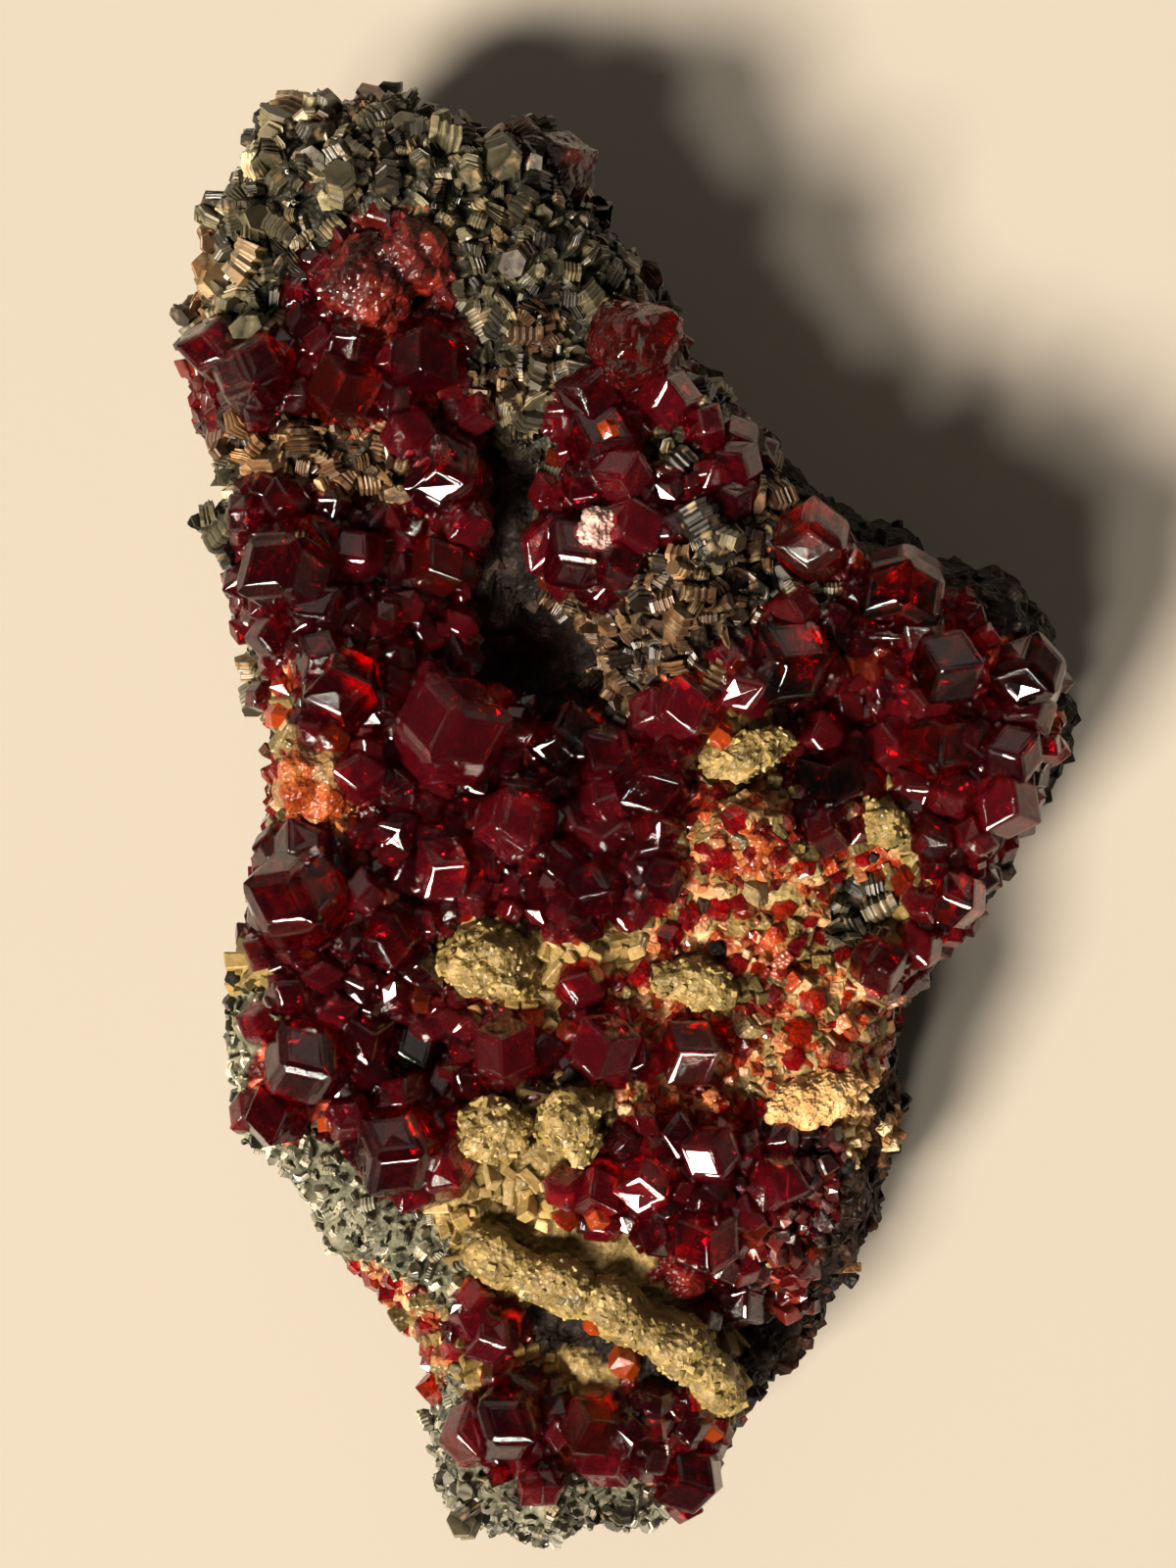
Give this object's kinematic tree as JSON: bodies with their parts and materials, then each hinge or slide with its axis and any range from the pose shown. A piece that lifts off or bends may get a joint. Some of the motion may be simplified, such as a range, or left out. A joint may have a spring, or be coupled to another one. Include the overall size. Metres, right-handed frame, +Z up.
{
  "type": "garnet crystals in matrix",
  "caption": "Mineral hand specimen lying on its back: wine-red garnet crystals with olive diopside on a rock of grey-green chlorite books.",
  "frame": {"origin": "middle of the flat sole that the specimen lies on", "axes": "+Z up out of the crystal face, +Y toward the tall chlorite end, +X toward the dark broken wing"},
  "size_m": [0.0744, 0.1199, 0.0306],
  "materials": {
    "matrix": "rough rock made of green chlorite flakes, garnet grains and diopside, matt with small pearly glints",
    "garnet_wine": "clear dark wine-red garnet with glassy faces, growth steps and crimson edges",
    "garnet_crimson": "clear crimson garnet with glassy faces",
    "garnet_ember": "clear orange-red garnet with glassy faces",
    "garnet_rust": "cloudy rust-red garnet, cracked and partly broken",
    "diopside_olive": "olive-tan sugary diopside with a waxy surface",
    "diopside_straw": "straw-coloured sugary diopside mixed with peach garnet grains",
    "grossular_orange": "orange massive garnet, sugary and translucent at thin edges",
    "cream_crust": "cream crust with small dark pits, matt",
    "chlorite_book": "stacked grey-green chlorite leaves with ribbed edges and pearly faces"
  },
  "bodies": {
    "root": {"garnet_largest": "garnet_wine", "garnet_center_bright": "garnet_wine", "garnet_center_lower": "garnet_wine", "garnet_left_stepped": "garnet_wine", "garnet_left_upper": "garnet_wine", "garnet_left_round": "garnet_wine", "garnet_hollow_dark": "garnet_wine", "garnet_top_dark": "garnet_wine", "garnet_top_left": "garnet_wine", "garnet_neck_upper": "garnet_wine", "garnet_shaded": "garnet_wine", "garnet_pale_capped": "garnet_wine", "garnet_slope_pair": "garnet_wine", "garnet_black": "garnet_wine", "garnet_hollow_red": "garnet_wine", "garnet_shadow_right": "garnet_wine", "garnet_wing_upper": "garnet_wine", "garnet_wing_lower": "garnet_wine", "garnet_wing_outer": "garnet_wine", "garnet_base_pair": "garnet_wine", "garnet_base_red": "garnet_wine", "garnet_pocket_dark": "garnet_wine", "garnet_glinting": "garnet_wine", "garnet_tail_largest": "garnet_wine", "garnet_tip": "garnet_wine", "garnet_crimson_wedge": "garnet_crimson", "garnet_wing_red": "garnet_crimson", "garnet_right_edge": "garnet_crimson", "garnet_lower_crimson": "garnet_crimson", "garnet_mid_crimson": "garnet_crimson", "garnet_low_pair": "garnet_crimson", "garnet_tail_crimson": "garnet_crimson", "garnet_top_ember": "garnet_ember", "garnet_neck_lower": "garnet_rust", "garnet_upper_mass": "garnet_rust", "garnet_shoulder": "garnet_rust", "garnet_rusty": "garnet_rust", "garnet_dome": "garnet_rust", "garnet_lower_pink": "garnet_rust", "garnet_tail_right": "garnet_rust", "garnet_horn": "garnet_rust", "diopside_block": "diopside_olive", "diopside_knob_left": "diopside_olive", "diopside_knob_right": "diopside_olive", "diopside_ledge": "diopside_olive", "diopside_ridge": "diopside_olive", "diopside_lower": "diopside_olive", "diopside_right": "diopside_olive", "diopside_plateau": "diopside_straw", "orange_mass": "grossular_orange", "cream_crust": "cream_crust", "chlorite_tip": "chlorite_book", "chlorite_knob": "chlorite_book", "chlorite_book_lobe": "chlorite_book", "chlorite_book_pillar": "chlorite_book", "chlorite_book_plateau": "chlorite_book", "matrix_rock": "matrix"}
  },
  "joints": []
}
